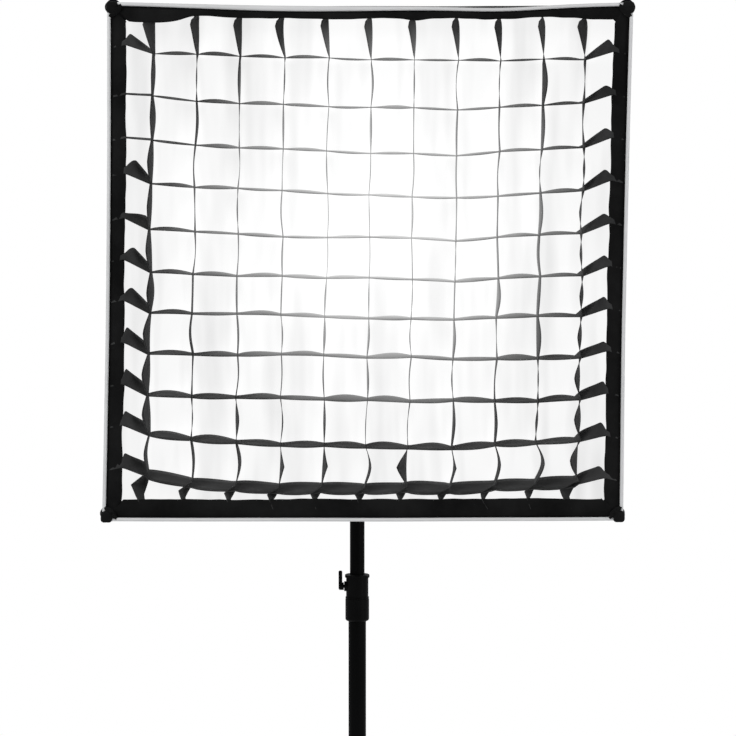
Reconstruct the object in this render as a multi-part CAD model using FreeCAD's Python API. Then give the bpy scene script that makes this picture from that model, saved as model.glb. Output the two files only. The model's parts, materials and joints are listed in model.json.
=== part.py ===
import FreeCAD, Part
import math
import os
from FreeCAD import Vector

# A square softbox with a fabric grid, on its lamp head, tilting yoke and three-section light stand.
# Millimetres. +Z is up and the softbox faces -Y. Everything is built about the stand's own vertical
# axis and moved at the end, so that the origin is on the floor under the middle of the whole thing.

# ---------------------------------------------------------------- softbox
SOFTBOX_HALF_WIDTH = 402.0
SOFTBOX_HALF_HEIGHT = 398.0
FRONT_SHIFT = 12.0          # the soft front hangs a little to the right of the lamp
FRONT_LEAN = 6.0            # and a little out of square: the top right, the bottom left
FABRIC = 1.5
FRONT_Y = -520.0            # front edge of the lip
LIP_DEPTH = 62.0
REAR_Y = -130.0             # rear opening, round the speed ring
REAR_HALF = 78.0
MITRE_GAP = 0.25
BINDING_WIDTH = 5.0
BINDING_DEPTH = 6.0

GRID_CELLS = 12
GRID_GAP = 2.0              # between the lip and the grid
GRID_BAND = 27.0
GRID_DEPTH = 50.0
STRIP = 1.5
STRIP_GAP = 0.3

DIFFUSER_Y = -463.0
DIFFUSER_GAP = 1.0
BAFFLE_Y = -300.0
BAFFLE_HALF = 170.0
STRAP_RADIUS = 2.0

ROD_RADIUS = 2.5
ROD_INSET = 8.0             # rod centre inside the corner of the lip
CAP_WIDTH = 24.0
CAP_LENGTH = 40.0
CAP_DEPTH = 26.0
CAP_PROUD = 6.0             # how far a cap stands out of its corner
CAP_ROUND = 10.0
CAP_GAP = 0.5

# ---------------------------------------------------------------- lamp head
TILT_Z = 1450.0             # height of the tilt axis
LAMP_RADIUS = 60.0
LAMP_WALL = 3.0
LAMP_FRONT_Y = -110.0
LAMP_REAR_Y = 110.0
COVER_THICKNESS = 6.0
MOUNT_RING_RADIUS = 74.0
MOUNT_RING_BORE = 52.0
MOUNT_RING_DEPTH = 12.0
SPEED_RING_RADIUS = 76.0
SPEED_RING_DEPTH = 14.0
SOCKET_RADIUS = 6.0
SOCKET_LENGTH = 45.0
SOCKET_OFFSET = 56.0
TILT_BOSS_RADIUS = 16.0
TILT_BOLT_RADIUS = 4.0
FIN_PITCH = 8.0

# ---------------------------------------------------------------- yoke and receiver
YOKE_INNER = 68.0
YOKE_THICKNESS = 6.0
YOKE_HALF_DEPTH = 15.0
YOKE_DROP = 146.0           # tilt axis down to the underside of the cross bar
RECEIVER_HEIGHT = 66.0
RECEIVER_HALF_WIDTH = 17.0
RECEIVER_HALF_DEPTH = 20.0
SPIGOT_RADIUS = 8.0
SOCKET_DEPTH = 46.0
UMBRELLA_RADIUS = 4.1
UMBRELLA_DROP = 10.0

# ---------------------------------------------------------------- stand
RISER_RADIUS = 12.5
MIDDLE_RADIUS = 15.0
BASE_RADIUS = 17.5
TUBE_WALL = 2.0
SLIDE_GAP = 0.3
RISER_BOTTOM = 657.0
MIDDLE_BOTTOM = 400.0
BASE_BOTTOM = 100.0
RISER_COLLAR_BOTTOM = 817.0
MIDDLE_COLLAR_BOTTOM = 515.0
TUBE_IN_COLLAR = 36.0
LEVER_DROP = 20.6           # collar top down to the lever's axis
LEVER_REACH = 26.6
LEVER_THICKNESS = 9.0
LEVER_ARM = 6.4

LEG_SPREAD = 58.0           # degrees from vertical, opened out
LEG_ANGLES = (-90.0, 30.0, 150.0)
BRACE_LENGTH = 180.0
HUB_Z = 120.0
PIVOT_RADIUS = 40.0
LEG_LENGTH = 562.0
LEG_WIDE = 18.0
LEG_THICK = 12.0
LEG_WALL = 1.5
SLEEVE_RADIUS = 23.0
PIN_RADIUS = 2.5
PIN_GAP = 0.1

shapes = {}


# ---------------------------------------------------------------- small builders
def block(x0, x1, y0, y1, z0, z1):
    return Part.makeBox(x1 - x0, y1 - y0, z1 - z0, Vector(x0, y0, z0))


def rod(radius, start, end):
    """A round bar from one point to another."""
    start = Vector(*start)
    along = Vector(*end) - start
    return Part.makeCylinder(radius, along.Length, start, along)


def upright(radius, z0, z1):
    return rod(radius, (0, 0, z0), (0, 0, z1))


def upright_tube(outer, inner, z0, z1):
    return upright(outer, z0, z1).cut(upright(inner, z0 - 1, z1 + 1))


def ring_along_y(outer, inner, y0, y1):
    y0, y1 = sorted((y0, y1))
    solid = rod(outer, (0, y0, TILT_Z), (0, y1, TILT_Z))
    return solid.cut(rod(inner, (0, y0 - 1, TILT_Z), (0, y1 + 1, TILT_Z)))


def edges_along(shape, axis):
    """The straight edges of a shape that run along one axis."""
    found = []
    for edge in shape.Edges:
        if isinstance(edge.Curve, Part.Line) and abs(edge.Curve.Direction.dot(axis)) > 0.999:
            found.append(edge)
    return found


def rounded(shape, radius, axis):
    return shape.makeFillet(radius, edges_along(shape, axis))


def rim_edges(shape, y=None, z=None):
    """The round edges that lie in one plane across Y or Z."""
    found = []
    for edge in shape.Edges:
        box = edge.BoundBox
        flat_y = y is not None and abs(box.YMin - y) < 1e-3 and abs(box.YMax - y) < 1e-3
        flat_z = z is not None and abs(box.ZMin - z) < 1e-3 and abs(box.ZMax - z) < 1e-3
        if (flat_y or flat_z) and isinstance(edge.Curve, Part.Circle):
            found.append(edge)
    return found


def fused(parts):
    whole = parts[0].multiFuse(parts[1:])
    return whole.removeSplitter()


def about_stand(shape, degrees):
    return shape.rotated(Vector(0, 0, 0), Vector(0, 0, 1), degrees)


def keep(name, shape):
    shapes[name] = shape


# ---------------------------------------------------------------- softbox sections
def section_point(across, up, half_width, half_height):
    """A corner of the softbox's cross-section: across and up are -1 or 1."""
    share = half_width / SOFTBOX_HALF_WIDTH
    x = across * half_width + (FRONT_SHIFT + up * FRONT_LEAN) * share
    return x, TILT_Z + up * half_height


def section_wire(y, half_width, half_height):
    corners = [section_point(a, u, half_width, half_height) for a, u in ((-1, -1), (1, -1), (1, 1), (-1, 1))]
    return Part.makePolygon([Vector(x, y, z) for x, z in corners + corners[:1]])


def section_frame(y0, y1, half_width, half_height, width):
    """A frame between two planes, following the softbox's cross-section."""
    depth = Vector(0, y1 - y0, 0)
    outer = Part.Face(section_wire(y0, half_width, half_height)).extrude(depth)
    inner = Part.Face(section_wire(y0, half_width - width, half_height - width)).extrude(depth)
    return outer.cut(inner)


def corner(across, up, y, inset):
    x, z = section_point(across, up, SOFTBOX_HALF_WIDTH - inset, SOFTBOX_HALF_HEIGHT - inset)
    return x, y, z


def panel_section(side, y, half_width, half_height):
    """One wall of the shell at one depth: outer face, then inner face, mitred at both ends."""
    ends = {"top": ((-1, 1), (1, 1)), "right": ((1, 1), (1, -1)),
            "bottom": ((1, -1), (-1, -1)), "left": ((-1, -1), (-1, 1))}[side]
    points = []
    for inset, order in ((0.0, ends), (FABRIC, ends[::-1])):
        for across, up in order:
            x, z = section_point(across, up, half_width - inset, half_height - inset)
            if side in ("top", "bottom"):
                x -= across * MITRE_GAP
            else:
                z -= up * MITRE_GAP
            points.append(Vector(x, y, z))
    return Part.makePolygon(points + points[:1])


def softbox_panels():
    sections = ((REAR_Y, REAR_HALF, REAR_HALF),
                (FRONT_Y + LIP_DEPTH, SOFTBOX_HALF_WIDTH, SOFTBOX_HALF_HEIGHT),
                (FRONT_Y, SOFTBOX_HALF_WIDTH, SOFTBOX_HALF_HEIGHT))
    for side in ("top", "right", "bottom", "left"):
        wires = [panel_section(side, *values) for values in sections]
        slope = Part.makeLoft(wires[:2], True, True)
        lip = Part.makeLoft(wires[1:], True, True)
        keep("shell_" + side + "_panel", slope.fuse(lip))


def corner_rods():
    """Four sprung rods from the speed ring's sockets to the corner caps."""
    names = {(-1, 1): "upper_left", (1, 1): "upper_right", (-1, -1): "lower_left", (1, -1): "lower_right"}
    ring_front = LAMP_FRONT_Y - MOUNT_RING_DEPTH - STRIP_GAP - SPEED_RING_DEPTH
    sockets = []
    for (across, up), name in names.items():
        foot = Vector(across * SOCKET_OFFSET, ring_front, TILT_Z + up * SOCKET_OFFSET)
        tip = Vector(*corner(across, up, FRONT_Y + LIP_DEPTH, ROD_INSET))
        along = (tip - foot).normalize()
        start = foot + along * 10.0
        keep("rod_" + name, rod(ROD_RADIUS, start, tip))

        socket = rod(SOCKET_RADIUS, foot - along * 8.0, foot + along * SOCKET_LENGTH)
        socket = socket.cut(rod(ROD_RADIUS + 0.1, start - along * 0.5, foot + along * (SOCKET_LENGTH + 1)))
        behind_ring = block(-200, 200, ring_front, ring_front + 60, TILT_Z - 200, TILT_Z + 200)
        sockets.append(socket.cut(behind_ring))

        cap = at_corner(cap_block(0), across, up)
        keep("corner_cap_" + name, cap.cut(rod(ROD_RADIUS, tip - along * 60, tip)))
        notch = at_corner(cap_block(CAP_GAP), across, up)
        for side in ("top" if up > 0 else "bottom", "right" if across > 0 else "left"):
            panel = "shell_" + side + "_panel"
            keep(panel, shapes[panel].cut(notch))
    keep("rod_sockets", Part.makeCompound(sockets))


def cap_block(gap):
    """The rubber block before it is turned into its corner, or the plain notch that it sits in."""
    half = CAP_WIDTH / 2 + gap
    half_depth = CAP_DEPTH / 2 + gap
    cap = block(-half, half, -half_depth, half_depth, -gap, CAP_LENGTH + gap)
    if gap:
        return cap
    cap = rounded(cap, CAP_ROUND, Vector(0, 1, 0))
    return cap.makeFillet(2.0, [edge for edge in cap.Edges if abs(edge.BoundBox.YLength) < 1e-6])


def at_corner(cap, across, up):
    """Turn a block square to the diagonal of its corner, standing out by CAP_PROUD."""
    cap.rotate(Vector(0, 0, 0), Vector(0, 1, 0), across * (90 - up * 45))
    x, y, z = corner(across, up, FRONT_Y + LIP_DEPTH, 0)
    back = (CAP_LENGTH - CAP_PROUD) * math.sqrt(0.5)
    cap.translate(Vector(x - across * back, y, z - up * back))
    return cap


def clear_of_caps(fabric):
    """The fabric with its four corners trimmed to clear the rubber caps."""
    for across in (-1, 1):
        for up in (-1, 1):
            fabric = fabric.cut(at_corner(cap_block(CAP_GAP), across, up))
    return fabric


def front_fabric():
    half_width = SOFTBOX_HALF_WIDTH + 1
    half_height = SOFTBOX_HALF_HEIGHT + 1
    binding_y = FRONT_Y - BINDING_DEPTH
    keep("rim_binding", section_frame(binding_y, FRONT_Y, half_width, half_height, BINDING_WIDTH))

    inside = FABRIC + DIFFUSER_GAP
    wire = section_wire(DIFFUSER_Y, SOFTBOX_HALF_WIDTH - inside, SOFTBOX_HALF_HEIGHT - inside)
    keep("front_diffuser", clear_of_caps(Part.Face(wire).extrude(Vector(0, FABRIC, 0))))

    low, high = TILT_Z - BAFFLE_HALF, TILT_Z + BAFFLE_HALF
    baffle = block(-BAFFLE_HALF, BAFFLE_HALF, BAFFLE_Y, BAFFLE_Y + FABRIC, low, high)
    keep("inner_baffle", baffle)
    straps = []
    for across in (-1, 1):
        for up in (-1, 1):
            strap_y = BAFFLE_Y - STRAP_RADIUS - STRIP_GAP
            start = Vector(across * BAFFLE_HALF, strap_y, TILT_Z + up * BAFFLE_HALF)
            end = start + Vector(across * 46, 0, up * 46)
            straps.append(rod(STRAP_RADIUS, start - Vector(across * 8, 0, up * 8), end))
    keep("baffle_straps", Part.makeCompound(straps))


def grid():
    """The egg-crate grid: a flat border with side walls, and fabric strips crossing inside it."""
    inset = FABRIC + GRID_GAP
    half_width = SOFTBOX_HALF_WIDTH - inset
    half_height = SOFTBOX_HALF_HEIGHT - inset
    band = section_frame(FRONT_Y, FRONT_Y + FABRIC, half_width, half_height, GRID_BAND)
    walls = section_frame(FRONT_Y, FRONT_Y + GRID_DEPTH, half_width, half_height, FABRIC)
    keep("grid_border", clear_of_caps(fused([band, walls])))

    reach_x = half_width - FABRIC - STRIP_GAP
    reach_z = half_height - FABRIC - STRIP_GAP
    pitch_x = 2 * half_width / GRID_CELLS
    pitch_z = 2 * half_height / GRID_CELLS
    y0 = FRONT_Y + FABRIC + STRIP_GAP
    y1 = FRONT_Y + GRID_DEPTH

    def place(across, up):
        share = up / SOFTBOX_HALF_HEIGHT
        return across + FRONT_SHIFT + share * FRONT_LEAN, TILT_Z + up

    uprights = []
    rows = []
    for column in range(1, GRID_CELLS):
        across = -half_width + column * pitch_x
        ends = [place(across + side * STRIP / 2, up) for side, up in
                ((-1, -reach_z), (1, -reach_z), (1, reach_z), (-1, reach_z))]
        outline = [Vector(x, y0, z) for x, z in ends + ends[:1]]
        uprights.append(Part.Face(Part.makePolygon(outline)).extrude(Vector(0, y1 - y0, 0)))
    for row in range(1, GRID_CELLS):
        up = -half_height + row * pitch_z
        for column in range(GRID_CELLS):
            left = max(-reach_x, -half_width + column * pitch_x + STRIP / 2 + STRIP_GAP)
            right = min(reach_x, -half_width + (column + 1) * pitch_x - STRIP / 2 - STRIP_GAP)
            ends = [place(left, up - STRIP / 2), place(right, up - STRIP / 2),
                    place(right, up + STRIP / 2), place(left, up + STRIP / 2)]
            outline = [Vector(x, y0, z) for x, z in ends + ends[:1]]
            rows.append(Part.Face(Part.makePolygon(outline)).extrude(Vector(0, y1 - y0, 0)))
    keep("grid_upright_strips", Part.makeCompound(uprights))
    keep("grid_level_strips", Part.makeCompound(rows))


def speed_ring():
    back = LAMP_FRONT_Y - MOUNT_RING_DEPTH - STRIP_GAP
    ring = ring_along_y(SPEED_RING_RADIUS, MOUNT_RING_BORE, back, back - SPEED_RING_DEPTH)
    groove = ring_along_y(SPEED_RING_RADIUS + 1, SPEED_RING_RADIUS - 2, back - 6, back - 9)
    keep("speed_ring", ring.cut(groove))


# ---------------------------------------------------------------- lamp head
def lamp_housing():
    shell = ring_along_y(LAMP_RADIUS, LAMP_RADIUS - LAMP_WALL, LAMP_FRONT_Y, LAMP_REAR_Y - COVER_THICKNESS)
    bosses = []
    for side in (-1, 1):
        start = (side * (LAMP_RADIUS - 5), 0, TILT_Z)
        bosses.append(rod(TILT_BOSS_RADIUS, start, (side * (YOKE_INNER - SLIDE_GAP), 0, TILT_Z)))
    shell = fused([shell] + bosses)
    shell = shell.cut(rod(TILT_BOLT_RADIUS + PIN_GAP, (-80, 0, TILT_Z), (80, 0, TILT_Z)))
    slot_count = 24
    for index in range(slot_count):
        angle = 360.0 / slot_count * index
        slot = block(-2, 2, 50, 92, TILT_Z + LAMP_RADIUS - 8, TILT_Z + LAMP_RADIUS + 8)
        shell = shell.cut(slot.rotated(Vector(0, 0, TILT_Z), Vector(0, 1, 0), angle))
    keep("lamp_housing", shell)


def lamp_rear():
    cover = rod(LAMP_RADIUS, (0, LAMP_REAR_Y - COVER_THICKNESS, TILT_Z), (0, LAMP_REAR_Y, TILT_Z))
    cover = cover.makeFillet(3.0, rim_edges(cover, y=LAMP_REAR_Y))
    knob_x, knob_z = 24.0, TILT_Z + 12
    switch_x, switch_z = -24.0, TILT_Z + 12
    inlet_z = TILT_Z - 30
    y0, y1 = LAMP_REAR_Y - 10, LAMP_REAR_Y + 1
    cover = cover.cut(rod(3.1, (knob_x, y0, knob_z), (knob_x, y1, knob_z)))
    cover = cover.cut(block(switch_x - 7.4, switch_x + 7.4, y0, y1, switch_z - 11.4, switch_z + 11.4))
    cover = cover.cut(block(-14, 14, y0, y1, inlet_z - 11, inlet_z + 11))
    keep("lamp_rear_cover", cover)

    knob = rod(13, (knob_x, LAMP_REAR_Y + 0.5, knob_z), (knob_x, LAMP_REAR_Y + 12, knob_z))
    knob = knob.makeFillet(1.5, rim_edges(knob, y=LAMP_REAR_Y + 12))
    grip_count = 18
    for index in range(grip_count):
        angle = 2 * math.pi / grip_count * index
        x, z = knob_x + 13.4 * math.cos(angle), knob_z + 13.4 * math.sin(angle)
        knob = knob.cut(rod(1.0, (x, LAMP_REAR_Y, z), (x, LAMP_REAR_Y + 9, z)))
    knob = knob.cut(block(knob_x - 0.6, knob_x + 0.6, LAMP_REAR_Y + 11.3, y1 + 12, knob_z + 4, knob_z + 12))
    shaft = rod(3.0, (knob_x, LAMP_REAR_Y - 8, knob_z), (knob_x, LAMP_REAR_Y + 1, knob_z))
    keep("dimmer_knob", fused([knob, shaft]))

    rocker_side = ((-5, -8), (1.5, -10), (0.2, 0), (1.5, 10), (-5, 8), (-5, -8))
    rocker = Part.makePolygon([Vector(switch_x - 7, LAMP_REAR_Y + y, switch_z + z) for y, z in rocker_side])
    keep("power_switch", Part.Face(rocker).extrude(Vector(14, 0, 0)))

    inlet = block(-13.8, 13.8, LAMP_REAR_Y - 10, LAMP_REAR_Y + 2, inlet_z - 10.8, inlet_z + 10.8)
    inlet = rounded(inlet, 2.0, Vector(0, 1, 0))
    well = rounded(block(-11, 11, LAMP_REAR_Y - 8, y1 + 3, inlet_z - 8, inlet_z + 8), 3.0, Vector(0, 1, 0))
    blades = [block(x - 1, x + 1, LAMP_REAR_Y - 8.5, LAMP_REAR_Y - 1, inlet_z + z - 2, inlet_z + z + 2)
              for x, z in ((-5, -2), (0, 3), (5, -2))]
    keep("power_inlet", fused([inlet.cut(well)] + blades))


def lamp_inside():
    front = LAMP_FRONT_Y + 6
    board = rod(50, (0, front, TILT_Z), (0, front + 4, TILT_Z))
    chip = block(-14, 14, front - 1.5, front + 1, TILT_Z - 14, TILT_Z + 14)
    keep("led_module", fused([board, chip]))

    base = rod(50, (0, front + 4, TILT_Z), (0, front + 12, TILT_Z))
    core = rod(50, (0, front + 4, TILT_Z), (0, front + 84, TILT_Z))
    fins = []
    for index in range(-5, 6):
        fin_x = index * FIN_PITCH
        fin = block(fin_x - 1, fin_x + 1, front + 10, front + 84, TILT_Z - 60, TILT_Z + 60)
        fins.append(fin.common(core))
    keep("heat_sink", fused([base] + fins))

    hub = rod(14, (0, 0, TILT_Z), (0, 16, TILT_Z))
    blades = []
    for index in range(7):
        blade = block(-8, 8, 7, 9, TILT_Z + 12, TILT_Z + 46)
        blade = blade.rotated(Vector(0, 8, TILT_Z), Vector(0, 0, 1), 32)
        blades.append(blade.rotated(Vector(0, 0, TILT_Z), Vector(0, 1, 0), 360.0 / 7 * index))
    keep("cooling_fan", fused([hub] + blades))


def lamp_mount():
    front = LAMP_FRONT_Y - MOUNT_RING_DEPTH
    ring = ring_along_y(MOUNT_RING_RADIUS, MOUNT_RING_BORE, LAMP_FRONT_Y, front)
    latch_slot = block(-9, 9, front + 2, LAMP_FRONT_Y - 2, TILT_Z + 60, TILT_Z + 90)
    keep("bayonet_ring", ring.cut(latch_slot))
    latch = block(-8.5, 8.5, front + 2.5, LAMP_FRONT_Y - 2.5, TILT_Z + 61, TILT_Z + 78)
    thumb = block(-8.5, 8.5, front + 2.5, LAMP_FRONT_Y - 2.5, TILT_Z + 77, TILT_Z + 82)
    keep("bayonet_latch", rounded(fused([latch, thumb]), 1.5, Vector(0, 0, 1)))


def yoke_and_receiver():
    outer = YOKE_INNER + YOKE_THICKNESS
    bottom = TILT_Z - YOKE_DROP
    body = block(-outer, outer, -YOKE_HALF_DEPTH, YOKE_HALF_DEPTH, bottom, TILT_Z)
    body = fused([body, rod(YOKE_HALF_DEPTH, (-outer, 0, TILT_Z), (outer, 0, TILT_Z))])
    gap = block(-YOKE_INNER, YOKE_INNER, -20, 20, bottom + YOKE_THICKNESS, TILT_Z + 30)
    gap = rounded(gap, 8.0, Vector(0, 1, 0))
    yoke = body.cut(gap)
    yoke = yoke.cut(rod(TILT_BOLT_RADIUS + PIN_GAP, (-outer - 1, 0, TILT_Z), (outer + 1, 0, TILT_Z)))
    yoke = yoke.cut(upright(4.2, bottom - 1, bottom + 10))
    keep("yoke", yoke)

    head = upright(9, bottom + YOKE_THICKNESS, bottom + YOKE_THICKNESS + 6)
    head = head.cut(upright(3.5, bottom + YOKE_THICKNESS + 3, bottom + 20))
    receiver_bolt = fused([head, upright(4.0, bottom - 4, bottom + YOKE_THICKNESS + 1)])

    top = bottom
    low = bottom - RECEIVER_HEIGHT
    wide, deep = RECEIVER_HALF_WIDTH, RECEIVER_HALF_DEPTH
    receiver = block(-wide, wide, -deep, deep, low, top)
    receiver = rounded(receiver, 6.0, Vector(0, 0, 1))
    receiver = receiver.cut(upright(SPIGOT_RADIUS + PIN_GAP, low - 1, low + SOCKET_DEPTH))
    receiver = receiver.cut(upright(4.05, top - 5, top + 1))
    hole_z = top - UMBRELLA_DROP
    receiver = receiver.cut(rod(UMBRELLA_RADIUS, (0, -30, hole_z), (0, 30, hole_z)))
    knob_z = low + 22
    receiver = receiver.cut(rod(4.1, (0, 4, knob_z), (0, 30, knob_z)))
    keep("stand_receiver", receiver)

    start = RECEIVER_HALF_DEPTH + 2
    screw = rod(4.0, (0, SPIGOT_RADIUS + 0.6, knob_z), (0, start + 2, knob_z))
    hub = rod(8, (0, start, knob_z), (0, start + 14, knob_z))
    bar = block(-22, 22, start + 5, start + 13, knob_z - 5, knob_z + 5)
    bar = rounded(bar, 3.0, Vector(1, 0, 0))
    keep("receiver_lock_knob", fused([screw, hub, bar]))

    washer = rod(12, (-outer - 0.3, 0, TILT_Z), (-outer - 3, 0, TILT_Z))
    head = rod(9, (-outer - 3, 0, TILT_Z), (-outer - 9, 0, TILT_Z))
    shank = rod(TILT_BOLT_RADIUS, (-outer - 4, 0, TILT_Z), (-LAMP_RADIUS + 6, 0, TILT_Z))
    keep("yoke_bolts", Part.makeCompound([receiver_bolt, fused([washer, head, shank])]))

    hub = rod(12, (outer + 0.4, 0, TILT_Z), (outer + 18, 0, TILT_Z))
    arm = block(outer + 8, outer + 17, -7, 7, TILT_Z, TILT_Z + 62)
    arm = rounded(arm, 3.0, Vector(0, 0, 1))
    knob_end = rod(9, (outer + 8, 0, TILT_Z + 62), (outer + 17, 0, TILT_Z + 62))
    shank = rod(TILT_BOLT_RADIUS, (LAMP_RADIUS - 4, 0, TILT_Z), (outer + 4, 0, TILT_Z))
    keep("tilt_lock_lever", fused([hub, arm, knob_end, shank]))


# ---------------------------------------------------------------- stand
def clamp_collar(bottom, tube_radius, bore_radius, wall, lower_height, upper_height):
    """A collar fixed on the lower tube's end; the upper tube slides in its bore."""
    step = bottom + lower_height
    top = step + upper_height
    lower_radius = tube_radius + wall
    upper_radius = lower_radius - 1.3
    lower = upright(lower_radius, bottom, step)
    lower = lower.makeFillet(4.0, rim_edges(lower, z=bottom))
    upper = upright(upper_radius, step - 1, top)
    flange = upright(upper_radius + 2, top - 5, top)
    flange = flange.makeFillet(1.5, rim_edges(flange, z=top))
    lever_z = top - LEVER_DROP
    boss = rod(8.5, (0, 0, lever_z), (-upper_radius - 3.4, 0, lever_z))
    body = fused([lower, upper, flange, boss])
    groove = upright_tube(lower_radius + 2, lower_radius - 1.0, step - 3, step - 1)
    body = body.cut(groove)
    body = body.cut(upright(tube_radius, bottom - 1, bottom + TUBE_IN_COLLAR))
    body = body.cut(upright(bore_radius, bottom, top + 1))
    return body.cut(rod(3.1, (0, 0, lever_z), (-upper_radius - 10, 0, lever_z)))


def clamp_lever(collar_top, tube_radius, wall, bore_radius):
    """The lever that tightens a clamp screw: a hub on the screw and an arm that stands up."""
    axis_z = collar_top - LEVER_DROP
    face = -(tube_radius + wall - 1.3) - 4.0
    outside = face - LEVER_THICKNESS
    hub = rod(6.5, (face, 0, axis_z), (outside, 0, axis_z))
    hub = hub.makeFillet(3.0, [edge for edge in hub.Edges if edge.BoundBox.XMax < outside + 0.01])
    arm = block(outside, outside + LEVER_ARM, -5, 5, axis_z, axis_z + LEVER_REACH)
    arm = arm.makeFillet(2.5, [edge for edge in arm.Edges if edge.BoundBox.ZMin > axis_z + 1])
    screw = rod(3.0, (face - 1, 0, axis_z), (-bore_radius - 0.7, 0, axis_z))
    return fused([hub, arm, screw])


def stand_tubes():
    inner_gap = TUBE_WALL
    wall = 5.3
    lower_height, upper_height = 41.0, 39.0
    riser_collar_top = RISER_COLLAR_BOTTOM + lower_height + upper_height
    riser_top = TILT_Z - YOKE_DROP - RECEIVER_HEIGHT - 12
    keep("riser_tube", upright_tube(RISER_RADIUS, RISER_RADIUS - inner_gap, RISER_BOTTOM, riser_top))
    spigot = upright(SPIGOT_RADIUS, riser_top + 9, riser_top + 12 + SOCKET_DEPTH - 3)
    spigot = spigot.makeChamfer(1.0, rim_edges(spigot, z=riser_top + 12 + SOCKET_DEPTH - 3))
    waist = upright_tube(SPIGOT_RADIUS + 1, SPIGOT_RADIUS - 1.5, riser_top + 29, riser_top + 41)
    flange = upright(14, riser_top, riser_top + 10)
    flange = flange.makeFillet(2.0, rim_edges(flange, z=riser_top + 10))
    plug = upright(RISER_RADIUS - inner_gap, riser_top - 25, riser_top + 1)
    keep("spigot", fused([spigot.cut(waist), flange, plug]))

    middle_top = RISER_COLLAR_BOTTOM + TUBE_IN_COLLAR
    keep("middle_tube", upright_tube(MIDDLE_RADIUS, MIDDLE_RADIUS - inner_gap, MIDDLE_BOTTOM, middle_top))
    keep("riser_collar", clamp_collar(RISER_COLLAR_BOTTOM, MIDDLE_RADIUS, RISER_RADIUS + SLIDE_GAP,
                                      wall, lower_height, upper_height))
    keep("riser_clamp_lever", clamp_lever(riser_collar_top, MIDDLE_RADIUS, wall, RISER_RADIUS))

    base_top = MIDDLE_COLLAR_BOTTOM + TUBE_IN_COLLAR
    middle_collar_top = MIDDLE_COLLAR_BOTTOM + lower_height + upper_height
    keep("base_tube", upright_tube(BASE_RADIUS, BASE_RADIUS - inner_gap, BASE_BOTTOM, base_top))
    keep("middle_collar", clamp_collar(MIDDLE_COLLAR_BOTTOM, BASE_RADIUS, MIDDLE_RADIUS + SLIDE_GAP,
                                       wall, lower_height, upper_height))
    keep("middle_clamp_lever", clamp_lever(middle_collar_top, BASE_RADIUS, wall, MIDDLE_RADIUS))


def ear_pair(inner, outer, z, reach, height):
    """Two ears that stand out along +X, one each side of a leg."""
    ears = []
    for side in (-1, 1):
        y0, y1 = sorted((side * inner, side * outer))
        ear = block(BASE_RADIUS + 1, reach, y0, y1, z - height / 2, z + height / 2)
        ears.append(rounded(ear, 3.0, Vector(0, 1, 0)))
    return ears


def hub_and_leg_collar():
    bore = upright(BASE_RADIUS, BASE_BOTTOM, HUB_Z + 60)
    parts = [upright(SLEEVE_RADIUS, BASE_BOTTOM - 4, HUB_Z + 14)]
    rivets = []
    for angle in LEG_ANGLES:
        for side, ear in zip((-1, 1), ear_pair(9.3, 12.5, HUB_Z, PIVOT_RADIUS + 8, 18)):
            parts.append(about_stand(ear, angle))
            start = Vector(PIVOT_RADIUS, side * 6.7, HUB_Z)
            end = Vector(PIVOT_RADIUS, side * 12.5, HUB_Z)
            head = Vector(PIVOT_RADIUS, side * 14.0, HUB_Z)
            rivets.append(about_stand(fused([rod(PIN_RADIUS, start, end), rod(4.5, end, head)]), angle))
    hub = fused(parts).cut(bore)
    pin_holes = [about_stand(rod(PIN_RADIUS, (PIVOT_RADIUS, -20, HUB_Z), (PIVOT_RADIUS, 20, HUB_Z)), angle)
                 for angle in LEG_ANGLES]
    keep("lower_hub", hub.cut(pin_holes[0].multiFuse(pin_holes[1:])))
    keep("hub_rivets", Part.makeCompound(rivets))

    collar_z = HUB_Z + 2 * BRACE_LENGTH * math.cos(math.radians(LEG_SPREAD))
    parts = [upright(SLEEVE_RADIUS, collar_z - 20, collar_z + 20)]
    for angle in LEG_ANGLES:
        for side, ear in zip((-1, 1), ear_pair(6.9, 10.0, collar_z, PIVOT_RADIUS + 9, 20)):
            parts.append(about_stand(ear, angle))
            head = rod(4.5, (PIVOT_RADIUS, side * 9.5, collar_z), (PIVOT_RADIUS, side * 11.5, collar_z))
            parts.append(about_stand(head, angle))
    parts.append(rod(9, (0, 10, collar_z), (0, 33, collar_z)))
    collar = fused(parts).cut(upright(BASE_RADIUS + SLIDE_GAP, collar_z - 30, collar_z + 30))
    keep("leg_collar", collar.cut(rod(3.1, (0, 10, collar_z), (0, 40, collar_z))))

    knob = rod(15, (0, 35, collar_z), (0, 49, collar_z))
    for index in range(6):
        angle = math.pi / 3 * index
        x, z = 18 * math.cos(angle), collar_z + 18 * math.sin(angle)
        knob = knob.cut(rod(6, (x, 34, z), (x, 50, z)))
    screw = rod(3.0, (0, BASE_RADIUS + 0.7, collar_z), (0, 36, collar_z))
    keep("leg_collar_knob", fused([knob, screw]))


def bar_between(start, end, wide, thick, corner_radius):
    """A bar in the XZ plane from one point to another, wide across its plane."""
    along = Vector(*end) - Vector(*start)
    bar = block(-wide / 2, wide / 2, -thick / 2, thick / 2, 0, along.Length)
    if corner_radius:
        bar = rounded(bar, corner_radius, Vector(0, 0, 1))
    bar.rotate(Vector(0, 0, 0), Vector(0, 1, 0), math.degrees(math.atan2(along.x, along.z)))
    bar.translate(Vector(*start))
    return bar


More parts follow.
